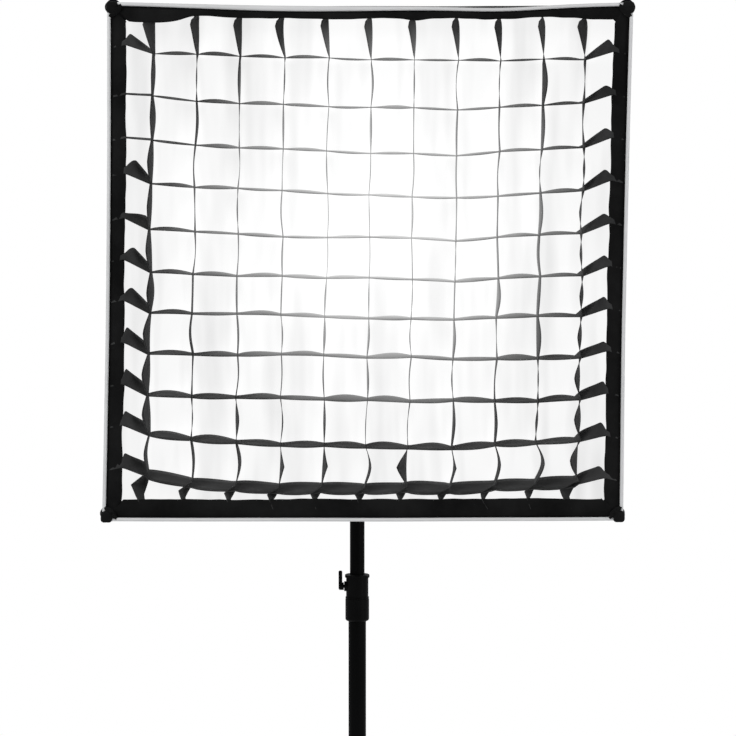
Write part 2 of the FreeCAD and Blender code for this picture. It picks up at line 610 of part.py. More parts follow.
def legs_and_braces():
    spread = math.radians(LEG_SPREAD)
    down = Vector(math.sin(spread), 0, -math.cos(spread))
    out_up = Vector(math.sin(spread), 0, math.cos(spread))
    hub_pivot = Vector(PIVOT_RADIUS, 0, HUB_Z)
    knee = hub_pivot + out_up * BRACE_LENGTH
    top_pivot = Vector(PIVOT_RADIUS, 0, HUB_Z + 2 * BRACE_LENGTH * math.cos(spread))
    leg_end = top_pivot + down * LEG_LENGTH

    for number, angle in enumerate(LEG_ANGLES, start=1):
        outer = bar_between(top_pivot - down * 8, leg_end, LEG_WIDE, LEG_THICK, 3.0)
        inner = bar_between(top_pivot - down * 10, leg_end + down, LEG_WIDE - 2 * LEG_WALL,
                            LEG_THICK - 2 * LEG_WALL, 1.5)
        side = Vector(0, 1, 0)
        top_hole = rod(PIN_RADIUS, top_pivot - side * 10, top_pivot + side * 10)
        knee_hole = rod(PIN_RADIUS, knee - side * 20, knee + side * 20)
        keep("leg_%d" % number, about_stand(outer.cut(inner).cut(top_hole).cut(knee_hole), angle))

        top_pin = rod(PIN_RADIUS, top_pivot - side * 6.6, top_pivot + side * 6.6)
        knee_pin = rod(PIN_RADIUS, knee - side * 9.4, knee + side * 9.4)
        heads = [rod(4.5, knee + side * way * 9.4, knee + side * way * 10.9) for way in (-1, 1)]
        rivets = Part.makeCompound([top_pin, fused([knee_pin] + heads)])
        keep("leg_rivets_%d" % number, about_stand(rivets, angle))

        straps = []
        for way in (-1, 1):
            strap = bar_between(hub_pivot - out_up * 7, knee + out_up * 7, 13, 2.5, 0)
            strap = rounded(strap, 5.0, side)
            strap.translate(side * way * 7.75)
            for pivot in (hub_pivot, knee):
                strap = strap.cut(rod(PIN_RADIUS + PIN_GAP, pivot - side * 20, pivot + side * 20))
            straps.append(strap)
        keep("brace_%d" % number, about_stand(Part.makeCompound(straps), angle))

        boot = bar_between(leg_end - down * 40, leg_end + down * 20, LEG_WIDE + 8, LEG_THICK + 8, 5.0)
        boot = boot.cut(outer)
        boot = boot.cut(block(0, 900, -50, 50, -100, 0))
        keep("foot_%d" % number, about_stand(boot, angle))


softbox_panels()
corner_rods()
front_fabric()
grid()
speed_ring()
lamp_housing()
lamp_rear()
lamp_inside()
lamp_mount()
yoke_and_receiver()
stand_tubes()
hub_and_leg_collar()
legs_and_braces()

# The feet stand on z = 0, and the origin goes under the middle of the whole thing.
whole = FreeCAD.BoundBox()
for shape in shapes.values():
    whole.add(shape.optimalBoundingBox())
to_centre = Vector(-(whole.XMin + whole.XMax) / 2, -(whole.YMin + whole.YMax) / 2, 0)
os.makedirs("parts", exist_ok=True)
for name, shape in shapes.items():
    shape.translate(to_centre)
    shape.exportStep("parts/" + name + ".step")
print(len(shapes), "nodes, stand axis at x =", to_centre.x, "y =", to_centre.y)
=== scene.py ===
import json
import math
import random

import bpy
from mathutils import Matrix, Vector, noise


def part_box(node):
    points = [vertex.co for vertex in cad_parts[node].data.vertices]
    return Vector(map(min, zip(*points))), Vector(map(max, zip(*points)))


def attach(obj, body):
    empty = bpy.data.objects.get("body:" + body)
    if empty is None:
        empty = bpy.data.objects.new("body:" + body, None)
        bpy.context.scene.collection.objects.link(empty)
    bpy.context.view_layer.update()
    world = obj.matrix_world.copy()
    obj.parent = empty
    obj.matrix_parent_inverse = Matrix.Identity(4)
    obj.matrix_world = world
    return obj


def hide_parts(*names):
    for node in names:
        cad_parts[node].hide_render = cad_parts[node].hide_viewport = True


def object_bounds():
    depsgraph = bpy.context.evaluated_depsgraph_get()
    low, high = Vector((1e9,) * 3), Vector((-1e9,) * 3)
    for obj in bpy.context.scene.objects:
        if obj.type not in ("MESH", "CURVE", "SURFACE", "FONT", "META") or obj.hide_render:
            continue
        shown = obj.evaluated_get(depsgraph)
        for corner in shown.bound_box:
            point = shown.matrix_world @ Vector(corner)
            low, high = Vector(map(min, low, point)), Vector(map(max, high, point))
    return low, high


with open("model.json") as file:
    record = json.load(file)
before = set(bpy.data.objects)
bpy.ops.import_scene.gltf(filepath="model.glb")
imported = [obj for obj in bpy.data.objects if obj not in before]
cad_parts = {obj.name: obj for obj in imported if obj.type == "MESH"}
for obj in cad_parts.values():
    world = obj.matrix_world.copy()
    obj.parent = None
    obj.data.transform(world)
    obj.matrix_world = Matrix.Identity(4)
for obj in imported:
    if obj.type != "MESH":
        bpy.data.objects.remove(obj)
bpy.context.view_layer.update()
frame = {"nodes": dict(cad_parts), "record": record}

# A square softbox with a fabric grid on its lamp head and light stand. Metres, unless a comment says
# millimetres. The softbox faces -Y. Its cloth is shaped here; the metal and plastic pieces keep their form.

# The small accidents of the cloth.
CHANCE = random.Random(27)

# The softbox's square section leans a little and sits beside the stand's centre line.
LEAN = 0.006
SHIFT = 0.012

# Where the solid pieces lie.
LAMP_LOW, LAMP_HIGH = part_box("lamp_housing")
CENTRE_Z = (LAMP_LOW.z + LAMP_HIGH.z) / 2
RIM_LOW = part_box("rim_binding")[0]
GRID_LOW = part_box("grid_border")[0]
SHELL_LOW, SHELL_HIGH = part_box("shell_top_panel")
STRIP_LOW, STRIP_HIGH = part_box("grid_upright_strips")
STRIP_FRONT = STRIP_LOW.y + 0.0012
DIFFUSER_LOW, DIFFUSER_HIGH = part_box("front_diffuser")
BAFFLE_LOW, BAFFLE_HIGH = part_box("inner_baffle")
NUB_Y = RIM_LOW.y - 0.0055

# The shell. A panel's length is counted from 0 at the rim to 1 at the speed ring.
HALF_WIDTH = 0.402
HALF_HEIGHT = 0.398
REAR_HALF = 0.078
LIP_DEPTH = 0.062
LIP_END = 0.14
CLOTH = 0.0008
FLAP_RADIUS = 0.0767
PANEL_ROWS = 48
PANEL_COLUMNS = 40
SEAM_RADIUS = 0.0021
LIP_SEAM_RADIUS = 0.0013
STITCH_LENGTH = 0.0028
STITCH_LIFT = 0.0003
THREAD_RADIUS = 0.00035

# The grey tape round the front edge.
TAPE_PROUD = 0.001
TAPE_DEPTH = 0.0046
TAPE_THICKNESS = 0.0007
TAPE_SECTIONS = 240

# The grid.
GRID_HALF_WIDTH = 0.3985
GRID_HALF_HEIGHT = 0.3945
CELLS = 12
STEPS = 10
TOP_BAND = 0.0118
BOTTOM_BAND = 0.029
SIDE_BAND = 0.0235
BAND_SECTIONS = 560
UPRIGHT_THICKNESS = 0.0008
LEVEL_THICKNESS = 0.0006

# The cloth over the rod ends, and the domed pocket at each corner: shares of the pocket's radius, and how
# far back each lies.
PATCH_REACH = 0.022
PATCH_START = 0.0085
NUB_RADIUS = 0.0094
NUB_SIDES = 24
NUB_PROFILE = ((0.02, 0.0), (0.4, 0.0004), (0.72, 0.0014), (0.92, 0.0032), (1.0, 0.0062), (1.0, 0.018))

# The lit cloth and the small one behind it.
DIFFUSER_INSET = 0.009
DIFFUSER_ROWS = 60
DIFFUSER_COLUMNS = 120
BAFFLE_STEPS = 30
BAFFLE_SCALLOP = 0.045

# How far the crossings hang below the even pitch at five columns, in millimetres, from the bottom row up.
HANG_COLUMNS = (1, 2, 4, 8, 11)
ROW_HANG = (
    (-1, 12, 21, 20, 11), (2, 11, 19, 26, 11), (9, 11, 12, 18, 16), (9, 11, 12, 17, 15),
    (11, 13, 16, 23, 16), (15, 19, 22, 28, 21), (16, 19, 24, 31, 21), (8, 14, 21, 33, 21),
    (9, 15, 22, 32, 18), (6, 13, 19, 26, 16), (5, 6, 13, 18, 15),
)
# How far a level strip's front edge hangs below its rear edge, in metres, from the bottom row up.
ROW_TILT = (0.0095, 0.0040, 0.0025, 0.002, 0.0018, 0.0016, 0.0018, 0.0022, 0.0026, 0.003, 0.0032)
# Where each level strip meets the left or right border, in millimetres and from the bottom row up: how far
# it is lifted, the height of its fold, how far along to the first crossing that fold is highest (a share),
# and its height at the crossing.
LEFT_FOLDS = (
    (12, 25, 0.15, 15), (12, 25, 0.15, 12), (10, 27, 0.18, 11), (9, 27, 0.2, 10),
    (8, 26, 0.35, 7), (5, 26, 0.4, 6), (3, 18, 0.85, 8), (6, 27, 0.44, 5),
    (-6, 3, 0.5, 3), (-5, 3, 0.5, 4), (5, 20, 0.2, 4),
)
RIGHT_FOLDS = (
    (-5, 21, 0.28, 10), (-5, 23, 0.25, 10), (-5, 21, 0.2, 9), (-5, 17, 0.2, 8),
    (-5, 21, 0.22, 8), (-5, 20, 0.25, 7), (-5, 19, 0.28, 6), (-5, 21, 0.28, 5),
    (-5, 19, 0.3, 5), (-5, 18, 0.3, 4), (-5, 22, 0.24, 3),
)
# How the uprights bow just above the bottom row, column by column, in millimetres: front edge, rear edge.
LOW_BOWS = (
    (-5, -3), (1, 2), (3, 6), (10, 3), (12, 4), (7, 4),
    (-14, 2), (11, 8), (9, 7), (9, 7), (-13, 2),
)
# The curl of an upright below the bottom row: share of the way down, left and right edge in millimetres.
CURL = ((0.0, -3, 2), (0.3, -20, -2), (0.6, -15, -8), (1.0, -7, -5))

# Where the strips' painted glow is centred, standing in for the lamp seen behind them: right of and above the
# lamp's axis, and how far round.
SHINE_RIGHT = 0.03
SHINE_UP = 0.05
SHINE_RADIUS = 0.33

# The floor, the lights (name, place, size, watts) and the camera.
FLOOR_RADIUS = 3.0
FLOOR_SIDES = 96
LIGHT_AIM = Vector((0, 0, 1.1))
LIGHTS = (
    ("key", (-2.2, -2.6, 3.2), 1.8, 70),
    ("fill", (2.8, -1.8, 2.0), 2.0, 35),
    ("rear_left", (-2.2, 2.4, 2.6), 1.4, 45),
    ("rear_right", (2.4, 2.4, 2.2), 1.4, 45),
)
CAMERA_PLACE = (-0.028, -5.385, 1.64)
CAMERA_AIM = Vector((0.0140, RIM_LOW.y, 1.288))
CAMERA_LENS = 158.7

# Sockets of a colour Mix node.
MIX_FACTOR, MIX_FIRST, MIX_SECOND, MIX_RESULT = 0, 6, 7, 2


def spot(across, y, up, size=1.0):
    """A point of the leaning section, across and up from its centre line."""
    return Vector((across + (SHIFT + LEAN * up / HALF_HEIGHT / size) * size, y, CENTRE_Z + up))


def wobble(seed, *place):
    """Smooth noise from -1 to 1 at a place, different for each seed."""
    x, y, z = (list(place) + [0.0, 0.0])[:3]
    return noise.noise(Vector((x + 17.3 * seed, y - 5.1 * seed, z + 3.7 * seed)))


# ---------------------------------------------------------------- materials

def new_material(name):
    """A material with its node tree and its surface shader."""
    made = bpy.data.materials.new(name)
    made.use_nodes = True
    tree = made.node_tree
    shader = tree.nodes["Principled BSDF"]
    return made, tree, shader


def add(tree, kind, **values):
    """A node, with its sockets and settings filled in by name."""
    node = tree.nodes.new(kind)
    for key, value in values.items():
        socket = key.replace("_", " ")
        if socket in node.inputs:
            node.inputs[socket].default_value = value
        else:
            setattr(node, key, value)
    return node


def object_place(tree, stretch=(1, 1, 1)):
    """The point on the piece, with each axis stretched."""
    place = add(tree, "ShaderNodeTexCoord")
    mapping = add(tree, "ShaderNodeMapping", Scale=stretch)
    tree.links.new(place.outputs["Object"], mapping.inputs["Vector"])
    return mapping.outputs["Vector"]


def speckle(tree, scale, detail=3.0, stretch=(1, 1, 1)):
    """Soft irregular patches, finer as the scale rises."""
    texture = add(tree, "ShaderNodeTexNoise", Scale=scale, Detail=detail, Roughness=0.6)
    tree.links.new(object_place(tree, stretch), texture.inputs["Vector"])
    return texture.outputs["Fac"]


def between(tree, factor, low, high, start=0.35, end=0.65):
    """A colour or value that runs from low to high as the factor runs from start to end."""
    ramp = add(tree, "ShaderNodeValToRGB")
    ramp.color_ramp.elements[0].position = start
    ramp.color_ramp.elements[1].position = end
    ramp.color_ramp.elements[0].color = low if len(low) == 4 else (*low, 1)
    ramp.color_ramp.elements[1].color = high if len(high) == 4 else (*high, 1)
    tree.links.new(factor, ramp.inputs["Fac"])
    return ramp.outputs["Color"]


def grey(value):
    """A neutral colour."""
    return (value, value, value)


def multiply(tree, first, second):
    """The product of two colours."""
    both = add(tree, "ShaderNodeMix", data_type="RGBA", blend_type="MULTIPLY")
    both.inputs["Factor"].default_value = 1.0
    tree.links.new(first, both.inputs[MIX_FIRST])
    tree.links.new(second, both.inputs[MIX_SECOND])
    return both.outputs[MIX_RESULT]


def glow_ball(tree, across, up, radius):
    """From 1 at a point of the front, across and up from the origin, down to 0 at the radius round it."""
    size = 1 / radius
    place = add(tree, "ShaderNodeTexCoord")
    shift = add(tree, "ShaderNodeMapping", Location=(-across * size, 0, -up * size), Scale=(size, 0, size))
    tree.links.new(place.outputs["Object"], shift.inputs["Vector"])
    ball = add(tree, "ShaderNodeTexGradient", gradient_type="SPHERICAL")
    tree.links.new(shift.outputs["Vector"], ball.inputs["Vector"])
    return ball.outputs["Fac"]


def bump(tree, shader, height, strength, distance):
    node = add(tree, "ShaderNodeBump", Strength=strength, Distance=distance)
    tree.links.new(height, node.inputs["Height"])
    earlier = shader.inputs["Normal"].links
    if earlier:
        tree.links.new(earlier[0].from_socket, node.inputs["Normal"])
    tree.links.new(node.outputs["Normal"], shader.inputs["Normal"])


def weave(tree, threads_per_metre):
    """Crossing threads, from two sets of bands and their product."""
    scale = threads_per_metre * math.pi / 10
    waves = []
    for direction in ("X", "Z"):
        wave = add(tree, "ShaderNodeTexWave", Scale=scale, Distortion=0.4, bands_direction=direction)
        tree.links.new(object_place(tree), wave.inputs["Vector"])
        waves.append(wave.outputs["Fac"])
    both = add(tree, "ShaderNodeMath", operation="MULTIPLY")
    tree.links.new(waves[0], both.inputs[0])
    tree.links.new(waves[1], both.inputs[1])
    return both.outputs["Value"]


def coated_metal(name, colour, roughness, grain, shine):
    """Black powder coat, dusty in patches and scuffed along its length."""
    made, tree, shader = new_material(name)
    dust = speckle(tree, 9.0)
    tree.links.new(between(tree, dust, grey(colour), grey(colour * 1.5)), shader.inputs["Base Color"])
    scuffs = speckle(tree, 60.0, 6.0, (1, 1, 0.08))
    tree.links.new(between(tree, scuffs, grey(roughness), grey(roughness * 1.35)), shader.inputs["Roughness"])
    shader.inputs["Specular IOR Level"].default_value = shine
    bump(tree, shader, speckle(tree, grain), 0.12, 0.0004)
    return made


def moulded(name, colour, roughness, shine):
    """Grained plastic or rubber, a little polished where it is handled."""
    made, tree, shader = new_material(name)
    patches = speckle(tree, 25.0)
    tree.links.new(between(tree, patches, grey(colour), grey(colour * 1.6)), shader.inputs["Base Color"])
    wear = speckle(tree, 110.0)
    tree.links.new(between(tree, wear, grey(roughness), grey(roughness * 0.8)), shader.inputs["Roughness"])
    shader.inputs["Specular IOR Level"].default_value = shine
    bump(tree, shader, speckle(tree, 1800.0), 0.15, 0.0002)
    return made


def bare_metal(name, colour, roughness, along):
    """Plated or turned metal with fine streaks."""
    made, tree, shader = new_material(name)
    streaks = speckle(tree, 180.0, 4.0, along)
    tree.links.new(between(tree, streaks, grey(colour * 0.8), grey(colour)), shader.inputs["Base Color"])
    tree.links.new(between(tree, streaks, grey(roughness), grey(roughness * 1.4)), shader.inputs["Roughness"])
    shader.inputs["Metallic"].default_value = 1.0
    bump(tree, shader, streaks, 0.1, 0.0002)
    return made


def dark_cloth(name, colour, light, threads, sheen):
    """Black nylon: creased, rippled and woven, with the light and shade of its creasing painted into its
    colour in soft patches.
    """
    made, tree, shader = new_material(name)
    # painted shade: soft patches of darker and lighter black, standing in for the light and shade of the
    # creasing
    painted_crease_shade = speckle(tree, 14.0, 5.0)
    tree.links.new(between(tree, painted_crease_shade, grey(colour), grey(light)), shader.inputs["Base Color"])
    shader.inputs["Roughness"].default_value = 0.85
    shader.inputs["Specular IOR Level"].default_value = 0.06
    shader.inputs["Sheen Weight"].default_value = sheen
    shader.inputs["Sheen Roughness"].default_value = 0.5
    bump(tree, shader, speckle(tree, 38.0, 4.0), 0.35, 0.004)
    bump(tree, shader, weave(tree, threads), 0.25, 0.0003)
    return made


def glowing_strip_cloth():
    """Thin black nylon with painted light: a lighter colour than the shell's nylon, and a painted glow where
    the lamp is straight behind it, most at the rear.
    """
    # painted light: a lighter base colour than the shell's black nylon, standing in for the diffuser's light
    # falling on the strips
    made = dark_cloth("strip_nylon_painted_glow", 0.022, 0.045, 700, 0.1)
    tree = made.node_tree
    shader = tree.nodes["Principled BSDF"]
    # painted glow: emission round a point right of and above the lamp's axis, standing in for lamp light seen
    # past the thin cloth
    ball = glow_ball(tree, SHINE_RIGHT, CENTRE_Z + SHINE_UP, SHINE_RADIUS)
    painted_glow_spread = between(tree, ball, grey(0.0), grey(0.95), 0.0, 0.8)
    apart = add(tree, "ShaderNodeSeparateXYZ")
    tree.links.new(object_place(tree), apart.inputs["Vector"])
    depth = add(tree, "ShaderNodeMapRange", From_Min=STRIP_LOW.y, From_Max=STRIP_HIGH.y)
    tree.links.new(apart.outputs["Y"], depth.inputs["Value"])
    # the painted glow is mottled in patches and strongest towards the rear edge
    patches = between(tree, speckle(tree, 13.0, 2.0), grey(0.2), grey(0.4), 0.4, 0.6)
    inward = add(tree, "ShaderNodeMix", data_type="RGBA")
    tree.links.new(depth.outputs["Result"], inward.inputs[MIX_FACTOR])
    tree.links.new(patches, inward.inputs[MIX_FIRST])
    inward.inputs[MIX_SECOND].default_value = (*grey(0.85), 1)
    glow = multiply(tree, painted_glow_spread, inward.outputs[MIX_RESULT])
    tree.links.new(glow, shader.inputs["Emission Color"])
    shader.inputs["Emission Strength"].default_value = 1.0
    return made


def light_cloth(name, colour, threads):
    """Plain woven cloth or tape with faint marks."""
    made, tree, shader = new_material(name)
    marks = speckle(tree, 10.0)
    tree.links.new(between(tree, marks, grey(colour * 0.93), grey(colour)), shader.inputs["Base Color"])
    shader.inputs["Roughness"].default_value = 0.8
    shader.inputs["Specular IOR Level"].default_value = 0.2
    shader.inputs["Sheen Weight"].default_value = 0.1
    bump(tree, shader, weave(tree, threads), 0.2, 0.0003)
    return made


def silver_lining():
    """The crinkled reflective inside of the shell."""
    made, tree, shader = new_material("silver_lining")
    crinkle = speckle(tree, 90.0, 5.0)
    tree.links.new(between(tree, crinkle, grey(0.55), grey(0.75)), shader.inputs["Base Color"])
    shader.inputs["Metallic"].default_value = 0.75
    shader.inputs["Roughness"].default_value = 0.42
    bump(tree, shader, crinkle, 0.5, 0.002)
    return made


def lit_diffuser():
    """White cloth glowing from behind, brightest at the middle, with the shade of soft upright folds painted
    into its glow as streaks.
    """
    made, tree, shader = new_material("lit_diffuser")
    # painted shade: upright streaks in the glow, standing in for the shade of the cloth's folds
    folds = speckle(tree, 1.0, 2.0, (26, 1, 3.2))
    streaks = between(tree, folds, grey(0.84), grey(0.99), 0.3, 0.6)
    ball = glow_ball(tree, SHIFT, CENTRE_Z, 0.625)
    glow = between(tree, ball, grey(0.955), grey(1.03), 0.1, 0.9)
    tree.links.new(multiply(tree, streaks, glow), shader.inputs["Emission Color"])
    shader.inputs["Emission Strength"].default_value = 0.93
    shader.inputs["Base Color"].default_value = (0.3, 0.3, 0.3, 1)
    shader.inputs["Roughness"].default_value = 0.9
    shader.inputs["Specular IOR Level"].default_value = 0.1
    bump(tree, shader, weave(tree, 500), 0.1, 0.0002)
    return made


def led_board():
    """Yellow phosphor cells, glowing."""
    made, tree, shader = new_material("led_board")
    cells = add(tree, "ShaderNodeTexVoronoi", Scale=420.0)
    tree.links.new(object_place(tree), cells.inputs["Vector"])
    tree.links.new(between(tree, cells.outputs["Distance"], (0.85, 0.62, 0.12), (0.95, 0.85, 0.45)),
                   shader.inputs["Base Color"])
    shader.inputs["Emission Color"].default_value = (1.0, 0.95, 0.85, 1)
    shader.inputs["Emission Strength"].default_value = 1.5
    shader.inputs["Roughness"].default_value = 0.35
    return made


FINISH = {
    "black_tube": coated_metal("satin_tube", 0.0014, 0.36, 900.0, 0.055),
    "black_casting": coated_metal("textured_casting", 0.004, 0.5, 420.0, 0.16),
    "black_plastic": moulded("grained_plastic", 0.0018, 0.42, 0.075),
    "black_rubber": moulded("matte_rubber", 0.0022, 0.7, 0.08),
    "black_cloth": dark_cloth("black_nylon", 0.0036, 0.0095, 700, 0.03),
    "black_elastic": dark_cloth("woven_elastic", 0.012, 0.02, 500, 0.08),
    "grey_binding": light_cloth("grey_tape", 0.7, 600),
    "white_cloth": light_cloth("white_cloth", 0.85, 600),
    "lit_cloth": lit_diffuser(),
    "bare_steel": bare_metal("plated_steel", 0.55, 0.28, (1, 1, 0.05)),
    "bare_aluminium": bare_metal("machined_aluminium", 0.7, 0.3, (1, 8, 1)),
    "led_chip": led_board(),
}
GLOWING_STRIP_CLOTH = glowing_strip_cloth()
LINING = silver_lining()
THREAD = light_cloth("grey_thread", 0.08, 2000)


def dress(obj, slot):
    """Give a solid piece the finish of its slot."""
    obj.data.materials.clear()
    obj.data.materials.append(FINISH[slot])


for part in frame["record"]["subparts"]:
    dress(frame["nodes"][part["node"]], part["material_slot"])


# ---------------------------------------------------------------- cloth meshes

class Cloth:
    """Corner points and faces of one piece, gathered strip by strip."""

    def __init__(self):
        self.points = []
        self.faces = []

    def patch(self, rows, closed=False):
        """Join rows of points into one surface. A closed patch's last row meets its first."""
        start = len(self.points)
        width = len(rows[0])
        for row in rows:
            self.points.extend(row)
        for r in range(len(rows) if closed else len(rows) - 1):
            below = start + r * width
            above = start + (r + 1) % len(rows) * width
            for c in range(width - 1):
                self.faces.append((below + c, below + c + 1, above + c + 1, above + c))

    def build(self, name, slot, finish=None, thickness=CLOTH, lining=None, nodes=(), body="head"):
        """Make the piece, give it its thickness and finish, and let it ride with its body."""
        mesh = bpy.data.meshes.new(name)
        mesh.from_pydata([tuple(p) for p in self.points], [], self.faces)
        mesh.polygons.foreach_set("use_smooth", [True] * len(mesh.polygons))
        mesh.materials.append(finish or FINISH[slot])
        obj = bpy.data.objects.new(name, mesh)
        bpy.context.scene.collection.objects.link(obj)
        if thickness:
            solid = obj.modifiers.new("thickness", "SOLIDIFY")
            solid.thickness = thickness
            solid.offset = -1.0 if lining else 0.0
            if lining:
                mesh.materials.append(lining)
                solid.material_offset = 1
        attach(obj, body)
        if nodes:
            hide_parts(*nodes)
        return obj


def thin_rod(points, radius, sides=6):
    """A closed-end tube along the points, as rows of a patch."""
    rows = []
    for i, point in enumerate(points):
        ahead = points[min(i + 1, len(points) - 1)] - points[max(i - 1, 0)]
        ahead.normalize()
        side = ahead.cross(Vector((0.3, 0.2, 0.93))).normalized()
        rise = ahead.cross(side)
        size = radius if 0 < i < len(points) - 1 else radius * 0.05
        ring = []
        for k in range(sides + 1):
            turn = 2 * math.pi * k / sides
            ring.append(point + (side * math.cos(turn) + rise * math.sin(turn)) * size)
        rows.append(ring)
    return rows


# ---------------------------------------------------------------- shell

def shell_profile(v):
    """(y, half size share) from the rim at 0, over the lip, to the speed ring at 1."""
    front = SHELL_LOW.y
    if v < LIP_END:
        return front + LIP_DEPTH * v / LIP_END, 1.0
    share = (v - LIP_END) / (1 - LIP_END)
    taper = SHELL_HIGH.y - front - LIP_DEPTH
    return front + LIP_DEPTH + taper * share, 1.0 - share * (1 - REAR_HALF / HALF_WIDTH)


def edge_slack(side, u):
    """How far the front edge is drawn in between its corners: it sags along the top, most on the right."""
    if side == 0:
        return 0.0065 * (1 - u * u) ** 1.4 + 0.0042 * math.exp(-((u - 0.5) / 0.22) ** 2)
    if side == 2:
        return -0.001 * (1 - u * u)
    return 0.0028 * (1 - u * u)


def shell_point(side, u, v):
    """A point of one panel. u runs from -1 to 1 between its two rods, v from the rim to the ring."""
    y, size = shell_profile(v)
    front = edge_slack(side, u) * max(0.0, 1 - v / LIP_END)
    slack = (1 - u * u) * math.sin(math.pi * min(1.0, max(0.0, (v - 0.1) / 0.9)))
    lip = math.exp(-((v - LIP_END) / 0.05) ** 2) * (1 - u ** 6)
    crease = wobble(side + 1, u * 3.2, v * 2.4) * 0.6 + wobble(side + 9, u * 9, v * 3) * 0.3
    inward = 0.011 * slack + 0.002 * lip + 0.0035 * crease * (1 - u ** 8) * math.sin(math.pi * v)
    pull = math.exp(-((1 - abs(u)) / 0.12)) * math.exp(-((v - LIP_END) / 0.12) ** 2)
    inward += 0.0015 * pull * math.sin(u * 60) + front
    width = HALF_WIDTH * size
    height = HALF_HEIGHT * size
    if side == 0:
        return spot(u * width, y, height - inward, size)
    if side == 1:
        return spot(width - inward, y, -u * height, size)
    if side == 2:
        return spot(-u * width, y, -height + inward, size)
    return spot(-width + inward, y, u * height, size)


def shell_panels():
    """Four tapered panels of black nylon with a silver lining, pulled in between the rods."""
    for side, name in enumerate(("top", "right", "bottom", "left")):
        cloth = Cloth()
        rows = []
        for i in range(PANEL_ROWS + 1):
            v = i / PANEL_ROWS
            rows.append([shell_point(side, -1 + 2 * j / PANEL_COLUMNS, v) for j in range(PANEL_COLUMNS + 1)])
        cloth.patch(rows)
        panel = cloth.build(f"panel_{name}", "black_cloth", lining=LINING, nodes=[f"shell_{name}_panel"])


def shell_seams():
    """Taped seams over the rods, and the seam that joins the lip to the taper."""
    cloth = Cloth()
    for side in range(4):
        edge = [shell_point(side, 1.0, 0.05 + 0.95 * i / 30) for i in range(31)]
        centre = spot(0, 0, 0)
        outward = [Vector((p.x - centre.x, 0, p.z - centre.z)).normalized() for p in edge]
        cloth.patch(thin_rod([p + o * 0.0006 for p, o in zip(edge, outward)], SEAM_RADIUS))
        lip = [shell_point(side, -0.97 + 1.94 * i / 40, LIP_END) for i in range(41)]
        cloth.patch(thin_rod(lip, LIP_SEAM_RADIUS))
    seams = cloth.build("shell_seams", "black_cloth", thickness=0)


def rear_flap():
    """The collar of cloth that closes the gap between the shell's square end and the round speed ring."""
    cloth = Cloth()
    middle = Vector((0, 0, CENTRE_Z))
    rows = []
    for side in range(4):
        for j in range(20):
            outer = shell_point(side, -1 + j / 10, 1.0)
            away = Vector((outer.x - middle.x, 0, outer.z - middle.z))
            inner = middle + away.normalized() * FLAP_RADIUS
            row = []
            for k in range(7):
                share = k / 6
                pucker = 0.0007 * math.sin(j * 1.9) * math.sin(math.pi * share)
                place = inner.lerp(middle + away, share)
                row.append(Vector((place.x, SHELL_HIGH.y - 0.0005 + pucker, place.z)))
            rows.append(row)
    cloth.patch(rows, closed=True)
    flap = cloth.build("rear_flap", "black_cloth")


# ---------------------------------------------------------------- front edge

def loop_place(t):
    """(side, u) round the front edge. t runs from 0 to 4, clockwise from the top left, seen from in front."""
    side = int(t) % 4
    return side, -1 + 2 * (t - int(t))


def loop_point(t, half_width, half_height, y):
    """The point at t on a leaning rectangle."""
    side, u = loop_place(t)
    if side == 0:
        return spot(u * half_width, y, half_height)
    if side == 1:
        return spot(half_width, y, -u * half_height)
    if side == 2:
        return spot(-u * half_width, y, -half_height)
    return spot(-half_width, y, u * half_height)


def inward_direction(t):
    """Towards the middle of the opening, turning over a short way at the corners."""
    side, u = loop_place(t)
    straight = (Vector((0, 0, -1)), Vector((-1, 0, 0)), Vector((0, 0, 1)), Vector((1, 0, 0)))
    here = straight[side]
    other = straight[(side + 1) % 4] if u > 0 else straight[(side - 1) % 4]
    mitre = max(0.0, (abs(u) - 0.93) / 0.07)
    return here + other * mitre


def band_drop(side, u):
    """How far the black band hangs away from the rim."""
    if side != 0:
        return 0.0
    return 0.0028 * math.exp(-((u + 0.3) / 0.38) ** 2)


def rim_tape():
    """Light grey tape folded over the shell's front edge, widening where the black band hangs away."""
    cloth = Cloth()
    rings = []
    for i in range(TAPE_SECTIONS):
        t = 4 * i / TAPE_SECTIONS
        side, u = loop_place(t)
        into = inward_direction(t)
        outer = loop_point(t, HALF_WIDTH + TAPE_PROUD, HALF_HEIGHT + TAPE_PROUD, RIM_LOW.y)
        outer += into * edge_slack(side, u)
        deep = TAPE_DEPTH + band_drop(side, u) * 1.05
        wave = 0.0005 * wobble(5, t * 6)
        section = ((0.0, 0.0056), (0.0, 0.0024), (0.0008, 0.0008), (0.4 * deep, 0.0), (0.75 * deep, 0.0006),
                   (deep, 0.002), (deep, 0.0056))
        rings.append([outer + into * (reach + wave) + Vector((0, back, 0)) for reach, back in section])
    cloth.patch(rings, closed=True)
    tape = cloth.build("rim_tape", "grey_binding", thickness=TAPE_THICKNESS, nodes=["rim_binding"])


def smooth_step(value, low, high):
    """From 0 at low to 1 at high, level at both ends."""
    share = max(0.0, min(1.0, (value - low) / (high - low)))
    return share * share * (3 - 2 * share)


def band_width(side, u):
    """How wide the border's front band shows on each side."""
    ripple = 0.0013 * wobble(20 + side, u * 5) + 0.0008 * wobble(30 + side, u * 17)
    if side == 0:
        heavy = 0.0125 * math.exp(-((u + 0.86) / 0.15) ** 4) + 0.009 * smooth_step(u, 0.6, 0.95)
        heavy += 0.004 * math.exp(-((u - 0.17) / 0.05) ** 2)
        return TOP_BAND + heavy + ripple
    if side == 2:
        return BOTTOM_BAND + ripple * 1.5
    return SIDE_BAND + ripple * 1.5


